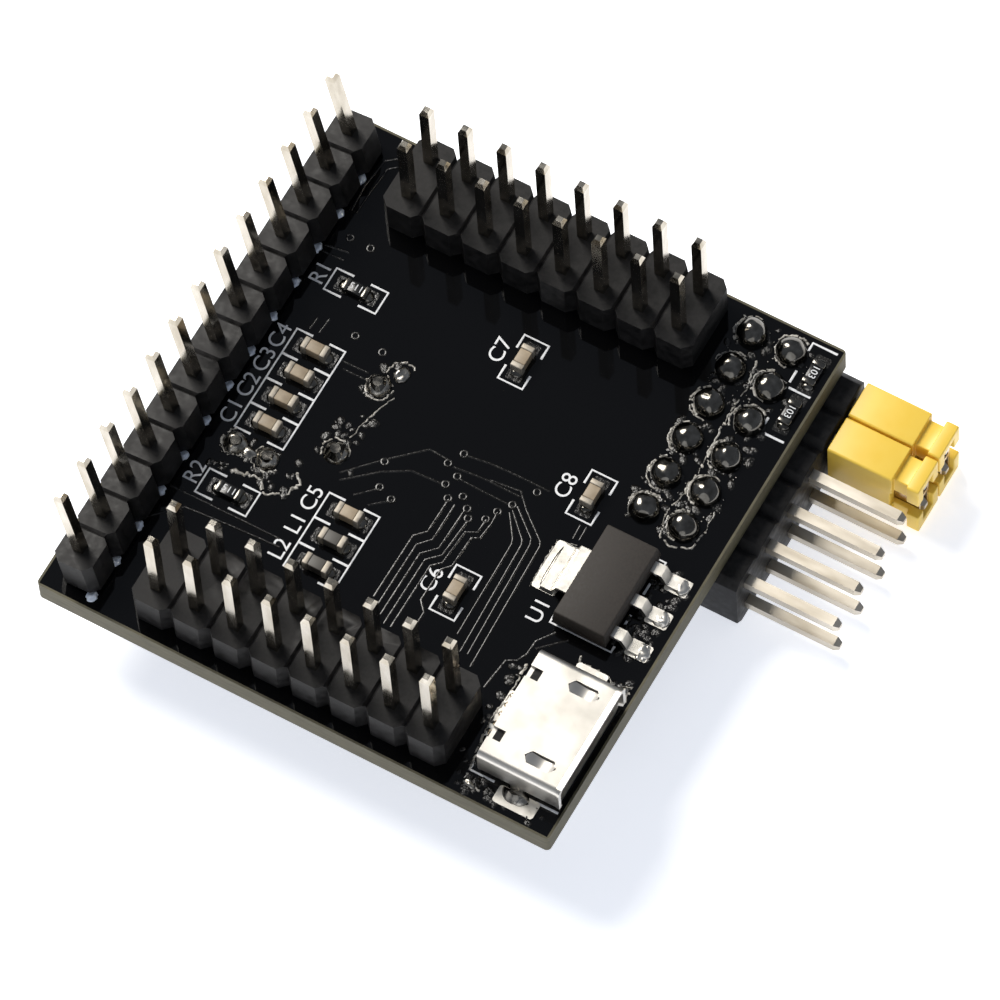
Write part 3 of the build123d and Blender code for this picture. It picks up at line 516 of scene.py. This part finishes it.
# Solder that froze undisturbed mirrors the dark room and one hard highlight.
solder = new_material("bright solder", "#6b6862", Metallic=1.0, Roughness=0.12)
mottle(solder, "#56534d", "#7d7a74", 2.0, roughness=(0.08, 0.2))
for part in ("header_solder", "usb_solder", "crystal_solder", "watch_crystal_solder"):
    paint(part, solder)
dome_places = [(low + high) / 2 for low, high in lumps("ra_header_solder")
               if high.x - low.x > DOME_LEAST_WIDTH]
domes = bmesh.new()
for middle in dome_places:
    blob(domes, (middle.x, middle.y, 0.1), DOME_RADII, rough=0.09, grain=1.3, detail=4)
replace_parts(finish_piece("joint_domes", domes, solder, smooth=180), "ra_header_solder")
# A thin rough skin of tin, its colour lightened to a pale blue-white: a painted bluish glint, since these
# pads lie in the header's shadow.
tin_with_painted_glint = new_material("rough tin", "#dfe8f5", Metallic=0.35, Roughness=0.35)
dots = bmesh.new()
for middle in middles("tinned_spots"):
    blob(dots, (middle.x, middle.y, 0.0), DOT_RADII, rough=0.12, grain=5.0)
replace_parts(finish_piece("tinned_pads", dots, tin_with_painted_glint, smooth=180), "tinned_spots")

# ---- Flux ----
# Rosin that boiled out of the solder and dried where it stopped: ragged glassy films, bright crumbs
# and dark flat puddles, stuck to the mask round every joint soldered by hand.
random.seed(7)
FLUX_STEP = 0.16
LOOSE_CRUMBS = 120
CRYSTAL_FLUX = ((-5.77, 2.72), (-5.9, -2.1), (-11.2, -4.3), (-9.1, -4.4), (-5.0, 3.95))
# how many, x from, x to, y from, y to
PUDDLE_FIELDS = (
    (170, 10.3, 15.2, 2.3, 16.9),
    (40, -11.9, -7.0, -6.2, -3.7),
    (30, -6.9, -4.4, -3.2, 4.6),
    (60, 13.9, 16.2, -5.6, 0.6),
    (30, 10.0, 16.2, -17.1, -15.9),
    (14, 15.3, 16.2, -8.4, -6.8),
    (20, 9.6, 10.9, -15.5, -8.5),
)
films = bmesh.new()
crumbs = bmesh.new()
puddles = bmesh.new()


def ragged(points, wander):
    """Points along a path, each moved a little at random."""
    result = []
    for (x0, y0), (x1, y1) in zip(points, points[1:]):
        count = max(2, int(math.hypot(x1 - x0, y1 - y0) / FLUX_STEP))
        result += [(x0 + (x1 - x0) * i / count + random.uniform(-wander, wander),
                    y0 + (y1 - y0) * i / count + random.uniform(-wander, wander)) for i in range(count)]
    return result


def flux(points, wander, wide, share, crumb=0.05):
    """Dashes of film along the path, and crumbs beside them; a `share` of 1 gives the most crumbs."""
    path = ragged(points, wander)
    start = 0
    while start < len(path) - 2:
        length = random.randint(2, 6)
        dash = path[start:start + length + 1]
        ribbons(films, [dash], wide * random.uniform(0.35, 0.9), 0.05)
        start += length + random.choice((0, 0, 1))
    for x, y in path:
        if random.random() < share * 0.45:
            size = crumb * random.choice((0.35, 0.5, 0.7, 1.3))
            blob(crumbs, (x, y, 0.04), (size, size * random.uniform(0.4, 1.6), size * 0.7),
                 rough=size * 0.4, grain=20, turn=random.uniform(0, 180), detail=1)


# along the right-angle header's joints
flux([(12.46, 14.40), (12.77, 12.52), (12.67, 10.77), (12.76, 8.89), (12.96, 7.19), (12.86, 5.08),
      (12.63, 3.75), (12.75, 2.6), (13.1, 2.0), (13.9, 1.75), (14.9, 2.2), (15.1, 3.3), (15.0, 5.0)],
     wander=0.06, wide=0.16, share=0.95, crumb=0.07)
# round each of them
for middle in dome_places:
    for reach in (0.98, 1.12):
        start = random.uniform(50, 130)
        flux(arc(middle.x, middle.y, reach, start, start + random.uniform(100, 190)),
             wander=0.06, wide=0.2, share=0.7)
# round the crystals' joints, and between them
for x, y in CRYSTAL_FLUX:
    start = random.uniform(0, 180)
    flux(arc(x, y, 0.85, start, start + 220), wander=0.08, wide=0.2, share=0.6)
flux([(-5.59, -0.95), (-5.4, 0.24), (-4.97, 1.8), (-4.57, 2.63)], wander=0.05, wide=0.16, share=0.8)
flux([(-10.61, -5.97), (-8.84, -5.61), (-8.2, -6.35), (-6.98, -5.81), (-6.68, -4.8), (-7.37, -3.97)],
     wander=0.1, wide=0.3, share=0.8, crumb=0.08)
# on both sides of the USB socket, and by the regulator's tab
flux([(12.7, -6.6), (12.85, -7.05), (14.85, -7.0), (15.1, -7.6), (16.2, -7.0), (16.3, -8.2)],
     wander=0.08, wide=0.2, share=0.7)
flux([(10.3, -8.6), (10.4, -10.4), (10.2, -12.4), (10.4, -14.0), (10.8, -16.5), (12.2, -16.7)],
     wander=0.05, wide=0.22, share=0.7, crumb=0.07)
flux([(8.0, -4.2), (8.0, -0.9), (9.3, -0.7)], wander=0.04, wide=0.14, share=0.3)
for _ in range(LOOSE_CRUMBS):
    x = random.uniform(10.4, 15.3)
    y = random.uniform(2.4, 16.9)
    size = random.uniform(0.015, 0.04)
    blob(crumbs, (x, y, 0.01), (size, size, size * 0.6), detail=1)
for count, x0, x1, y0, y1 in PUDDLE_FIELDS:
    for _ in range(count):
        size = random.uniform(0.15, 0.4)
        middle = (random.uniform(x0, x1), random.uniform(y0, y1), 0.0)
        blob(puddles, middle, (size, size * 0.7, 0.05), rough=0.04, grain=4.0,
             turn=random.uniform(0, 180), detail=2)
# Thick flux is clear and nearly black over the mask, with a rippled gloss.
glassy_flux = new_material("glassy flux", "#100f0d", Roughness=0.08)
mottle(glassy_flux, "#0b0a09", "#1a1814", 6.0, roughness=(0.05, 0.14), bump=0.07)
finish_piece("flux_puddles", puddles, glassy_flux, smooth=180)
# A thin film is crazed, so it goes from dark to milky within a fraction of a millimetre.
dried_flux = new_material("dried flux", "#4a4640", Roughness=0.12)
mottle(dried_flux, "#2a2824", "#c9c5bc", 4.0, roughness=(0.08, 0.3), bump=0.05)
finish_piece("flux_film", films, dried_flux)
# Crumbs are broken film, pale all through.
flux_crumbs = new_material("flux crumbs", "#b5b0a6", Roughness=0.25)
finish_piece("flux_crumbs", crumbs, flux_crumbs)

# ---- Jumper caps ----
# Two yellow polyester housings with every edge moulded round, open at both ends, each over a contact
# folded from bronze strip. They are pushed on two pins each, and the strip's spring holds them.
# Polished moulds leave the polyester even and half glossy.
yellow = new_material("moulded yellow polyester", "#f5cf52", Roughness=0.38)
mottle(yellow, "#f4cd4e", "#f6d156", 1.0, roughness=(0.34, 0.38))
# Rolled strip, pinkish and even.
bronze = new_material("bronze strip", "#cbb79a", Metallic=1.0, Roughness=0.25)
for number in (1, 2):
    softened(f"jumper_cap_{number}", 0.11, yellow, f"jumper_{number}")
    paint(f"jumper_clip_{number}", bronze)

# ---- USB socket ----
# Shell folded from nickel-plated steel, with two sprung latches cut out of its roof. Its legs go
# through the board and are soldered to tinned pads, and five contacts are soldered behind it.
LATCH_ROOT, LATCH_LENGTH, LATCH_WIDE, LATCH_THICK = 13.68, 1.75, 0.7, 0.12
LATCH_OFF_CENTRE = 2.48
LATCH_SUNK, LATCH_DROP, LATCH_BOW = 0.1, 0.2, 0.1
CONTACTS, CONTACT_PITCH = 5, 0.65
# lowest corner, highest corner, corner radius
USB_PADS = (
    ((12.7, -16.85, -0.02), (15.3, -15.72, 0.05), 0.2),
    ((12.8, -7.95, -0.02), (14.8, -7.0, 0.05), 0.2),
    ((10.3, -13.55, -0.02), (11.15, -10.35, 0.03), 0.1),
)
# middle, radii, rough, grain, turn
LEG_JOINTS = (
    ((13.9, -16.0, 0.02), (0.75, 0.5, 0.3), 0.1, 2.0, 0.0),
    ((13.7, -8.0, 0.02), (0.9, 0.25, 0.3), 0.05, 2.0, 0.0),
    ((11.08, -16.52, 0.02), (0.45, 0.2, 0.16), 0.1, 4.0, -20.0),
    ((15.9, -7.4, 0.02), (0.3, 0.25, 0.14), 0.1, 4.0, 0.0),
)


def plate(shape, low, high, corner=0.12):
    """Adds a flat plate with rounded corners between two opposite corners, in mm."""
    low = Vector(low) * MM
    high = Vector(high) * MM
    size = high - low
    made = bmesh.ops.create_cube(shape, size=1.0, matrix=Matrix.Translation((low + high) / 2)
                                 @ Matrix.Diagonal((size.x, size.y, size.z, 1)))
    upright = {e for v in made["verts"] for e in v.link_edges
               if abs(e.verts[0].co.z - e.verts[1].co.z) > size.z / 2}
    bmesh.ops.bevel(shape, geom=list(upright), offset=corner * MM, segments=4, profile=0.5,
                    affect="EDGES", material=-1)


# Nickel plate over rolled steel: pale, half bright, with a faint cloud.
shell_metal = new_material("nickel-plated steel", "#d6d2ca", Metallic=1.0, Roughness=0.34)
mottle(shell_metal, "#cdc9c0", "#ddd9d2", 0.6, roughness=(0.3, 0.38))
paint("usb_shell", shell_metal)
paint("usb_contacts", bronze)
paint("usb_tongue", moulding)
usb_low, usb_high = box_mm("usb_shell")
usb_middle = (usb_low.y + usb_high.y) / 2
latches = bmesh.new()
for side in (-1, 1):
    made = bmesh.ops.create_grid(latches, x_segments=10, y_segments=3, size=0.5)
    for vert in made["verts"]:
        along = vert.co.x + 0.5
        drop = LATCH_SUNK + LATCH_DROP * along + LATCH_BOW * math.sin(math.pi * along) ** 2
        vert.co = Vector((LATCH_ROOT + LATCH_LENGTH * along,
                          usb_middle + side * LATCH_OFF_CENTRE + LATCH_WIDE * vert.co.y,
                          usb_high.z - drop)) * MM
bmesh.ops.solidify(latches, geom=latches.faces[:], thickness=LATCH_THICK * MM)
finish_piece("usb_latches", latches, shell_metal)
# Tin levelled on copper: nearly white, with soft reflections.
tinned = new_material("tinned copper", "#dedad1", Metallic=1.0, Roughness=0.3)
mottle(tinned, "#d2cec4", "#e6e2da", 1.5, roughness=(0.27, 0.33))
usb_pads = bmesh.new()
for low, high, corner in USB_PADS:
    plate(usb_pads, low, high, corner)
finish_piece("usb_pads", usb_pads, tinned)
# Solder pushed about with an iron: paler than the domes, wrinkled and patchy.
hand_solder = new_material("hand-melted solder", "#a5a199", Metallic=1.0, Roughness=0.2)
mottle(hand_solder, "#7d786f", "#c3bfb6", 3.0, roughness=(0.12, 0.34), bump=0.04)
usb_joints = bmesh.new()
for middle, radii, rough, grain, turn in LEG_JOINTS:
    blob(usb_joints, middle, radii, rough, grain, turn)
for contact in range(CONTACTS):
    contact_y = usb_middle + (contact - (CONTACTS - 1) / 2) * CONTACT_PITCH
    blob(usb_joints, (10.75, contact_y, 0.05), (0.36, 0.2, 0.14), rough=0.04, grain=4.0)
finish_piece("usb_joints", usb_joints, hand_solder, smooth=180)

# ---- Regulator ----
# Grey epoxy, moulded round a frame of tinned copper with one wide tab and three bent leads, which are
# soldered to tinned pads on the board.
LEAD_PAD_FROM, LEAD_PAD_TO, LEAD_PAD_HALF = 14.75, 16.15, 0.55
TAB_SHOWN = 0.8
LUMPS_PER_LEAD = 5
# Filled epoxy, matt and finely speckled by the mould.
epoxy = new_material("moulded epoxy", "#36322f", Roughness=0.6, Specular_IOR_Level=0.25)
mottle(epoxy, "#322e2b", "#3b3733", 8.0, roughness=(0.5, 0.65), bump=0.004)
softened("regulator_body", 0.09, epoxy)
paint("regulator_tab", tinned)
paint("regulator_leads", tinned)
tab_low, tab_high = box_mm("regulator_tab")
menisci_and_shade_line = bmesh.new()
blob(menisci_and_shade_line, (tab_low.x - 0.05, -2.5, 0.0), (0.2, 1.5, 0.2), rough=0.08, grain=1.5)
# The thin dark solder ribbon along the tab's knee is painted shade: it stands in for the dark slope of the
# tab. The blob and the side ribbons are real solder fillets.
knee_shade_x = tab_low.x + 0.72
ribbons(menisci_and_shade_line, [[(knee_shade_x, tab_low.y + 0.05), (knee_shade_x, tab_high.y - 0.05)]], 0.2, 0.05, 0.28)
for y in (tab_low.y, tab_high.y):
    ribbons(menisci_and_shade_line, [[(tab_low.x, y), (tab_low.x + TAB_SHOWN, y)]], 0.3, 0.15)
finish_piece("tab_menisci", menisci_and_shade_line, solder, smooth=180)
regulator_pads = bmesh.new()
regulator_joints = bmesh.new()
plate(regulator_pads, (8.05, -4.15, -0.02), (9.6, -0.85, 0.05), 0.2)
for low, high in lumps("regulator_leads"):
    y = (low.y + high.y) / 2
    plate(regulator_pads, (LEAD_PAD_FROM, y - LEAD_PAD_HALF, -0.02), (LEAD_PAD_TO, y + LEAD_PAD_HALF, 0.05),
          0.15)
    blob(regulator_joints, (high.x + 0.05, y, 0.02), (0.5, 0.5, 0.24), rough=0.16, grain=3.0)
    for _ in range(LUMPS_PER_LEAD):
        middle = (high.x + random.uniform(0.0, 0.4), y + random.uniform(-0.5, 0.5), 0.05)
        blob(regulator_joints, middle, (0.17, 0.14, 0.12), rough=0.06, grain=6.0, detail=2)
finish_piece("regulator_pads", regulator_pads, tinned)
finish_piece("regulator_joints", regulator_joints, tinned, smooth=180)

# ---- Chips ----
# Fired ceramic, ferrite, glazed or clear resin bodies between dipped tin ends. Each end sits on a
# copper pad and is held by a small mound of solder.
JOINT_REACH, JOINT_LONG, JOINT_SHORT, JOINT_TALL = 0.16, 0.4, 0.34, 0.24
PAD_REACH = 0.22
CHIP_PAD_HALF = Vector((0.48, 0.48, 0.02))
CODE_SIZE = 0.6
CODES = [("511", -10.0, 7.43, 0), ("511", -9.9, -7.26, 0), ("103", 15.73, 15.2, -90),
         ("103", 15.73, 12.33, -90)]
# Fired ceramic is matt, a warm tan with a faint grain.
ceramic = new_material("fired ceramic", "#8d7f70", Roughness=0.5)
mottle(ceramic, "#8f7f69", "#a89880", 1.5, roughness=(0.4, 0.55))
# Glaze over the resistors' film is black and even.
glaze = new_material("black glaze", "#141414", Roughness=0.2)
# Ferrite is a plain dark grey stone.
ferrite = new_material("grey ferrite", "#4b4843", Roughness=0.5)
# The lamps' resin is pale and glossy.
resin = new_material("clear lamp resin", "#cfd3c4", Roughness=0.15)
# Dipped tin is dull and grey, with a slight grain.
dipped_tin = new_material("dipped tin", "#bdb6a8", Roughness=0.5, Metallic=0.5)
mottle(dipped_tin, "#8f877a", "#b3aca0", 3.0, roughness=(0.45, 0.6))
# name, body material, end material, slot, z of the face that it sits on
CHIPS = (
    ("capacitor", ceramic, dipped_tin, "capacitor_ceramic", board_high.z),
    ("inductor", ferrite, dipped_tin, "inductor_ferrite", board_high.z),
    ("resistor", glaze, solder, "resistor_glaze", board_high.z),
    ("led", resin, dipped_tin, "led_resin", board_low.z),
    ("under_capacitor", ceramic, dipped_tin, "capacitor_ceramic", board_low.z),
    ("under_resistor", glaze, solder, "resistor_glaze", board_low.z),
)
chip_joints = bmesh.new()
chip_pads = bmesh.new()
for kind, body_material, end_material, slot, face_z in CHIPS:
    softened(f"{kind}_bodies", 0.05, body_material)
    softened(f"{kind}_terminals", 0.06, end_material)
    bodies = [middle.to_2d() for middle in middles(f"{kind}_bodies")]
    for end in [middle.to_2d() for middle in middles(f"{kind}_terminals")]:
        away = (end - min(bodies, key=lambda body: (body - end).length)).normalized()
        radii = (JOINT_SHORT, JOINT_LONG) if abs(away.x) > 0.5 else (JOINT_LONG, JOINT_SHORT)
        joint = end + away * JOINT_REACH
        blob(chip_joints, (joint.x, joint.y, face_z), (*radii, JOINT_TALL), rough=0.05, grain=3.0)
        pad = (end + away * PAD_REACH).to_3d() + Vector((0, 0, face_z))
        plate(chip_pads, pad - CHIP_PAD_HALF, pad + CHIP_PAD_HALF)
finish_piece("chip_pads", chip_pads, varnish)
finish_piece("chip_joints", chip_joints, solder, smooth=180)
codes = bmesh.new()
lettering(codes, CODES, CODE_SIZE, box_mm("resistor_bodies")[1].z)
finish_piece("resistor_codes", codes, ink, smooth=0)

# ---- Crystal joints ----
# The leads of both crystals come up through the board from its other face, and each is held by a lump
# of hand-melted solder. Two more lumps have run together with them.
LEAD_JOINT_RADII = (0.72, 0.72, 0.42)
crystal_joints = bmesh.new()
for middle in middles("crystal_solder") + middles("watch_crystal_solder"):
    blob(crystal_joints, (middle.x, middle.y, 0.02), LEAD_JOINT_RADII, rough=0.12, grain=1.8)
blob(crystal_joints, (-5.0, 3.95, 0.0), (0.45, 0.5, 0.25), rough=0.2, grain=3.0)
blob(crystal_joints, (-10.2, -4.5, 0.0), (0.5, 0.35, 0.2), rough=0.15, grain=3.0)
finish_piece("crystal_joints", crystal_joints, hand_solder, smooth=180)

# ---- Underside ----
# The controller in its epoxy package, the drawn steel cans of both crystals, and the reset button: a
# steel cover crimped over a nylon base, a plunger and a snap dome. All are soldered on the lower face.
PACKAGE_MARGIN, CORNER_ARM = 0.4, 1.0
CHIP_ARM, PAST_ENDS, PAST_SIDES = 0.8, 1.05, 0.3
UNDER_LABELS = [("RESET", 12.6, -7.6, 0), ("U2", 10.8, 2.0, 0), ("Y1", -5.85, -6.4, 0),
                ("Y2", -7.9, -8.6, 90)]
# Deep drawing leaves the plated steel smooth, with soft reflections.
drawn_steel = new_material("drawn plated steel", "#c9c6bf", Metallic=1.0, Roughness=0.28)
mottle(drawn_steel, "#c4c1ba", "#cecbc4", 0.8, roughness=(0.26, 0.3))
# Moulded nylon, black and half matt.
nylon = new_material("black nylon", "#1a1a1b", Roughness=0.5)
softened("mcu_package", 0.08, epoxy)
paint("mcu_leads", tinned)
for part in ("crystal_base", "crystal_can", "crystal_leads", "watch_crystal_can", "watch_crystal_leads",
             "button_cover", "button_terminals", "button_dome"):
    paint(part, drawn_steel)
paint("button_base", nylon)
paint("button_plunger", nylon)
mcu_low, mcu_high = box_mm("mcu_leads")
middle = (mcu_low + mcu_high) / 2
reach = (mcu_high.x - mcu_low.x) / 2 + PACKAGE_MARGIN
under_lines = []
for side_x in (-1, 1):
    for side_y in (-1, 1):
        corner_x = middle.x + side_x * reach
        corner_y = middle.y + side_y * reach
        under_lines.append([(corner_x, corner_y - side_y * CORNER_ARM), (corner_x, corner_y),
                            (corner_x - side_x * CORNER_ARM, corner_y)])
for kind in ("under_capacitor", "under_resistor", "led"):
    for low, high in lumps(f"{kind}_bodies"):
        upright = high.y - low.y > high.x - low.x
        grow_x, grow_y = (PAST_SIDES, PAST_ENDS) if upright else (PAST_ENDS, PAST_SIDES)
        under_lines += outline(low.x - grow_x, high.x + grow_x, low.y - grow_y, high.y + grow_y, CHIP_ARM,
                               upright=upright)
under_print = bmesh.new()
ribbons(under_print, under_lines, INK_WIDE, INK_TALL, board_low.z)
lettering(under_print, UNDER_LABELS, 1.4, board_low.z, under=True)
finish_piece("under_printing", under_print, ink, smooth=0)
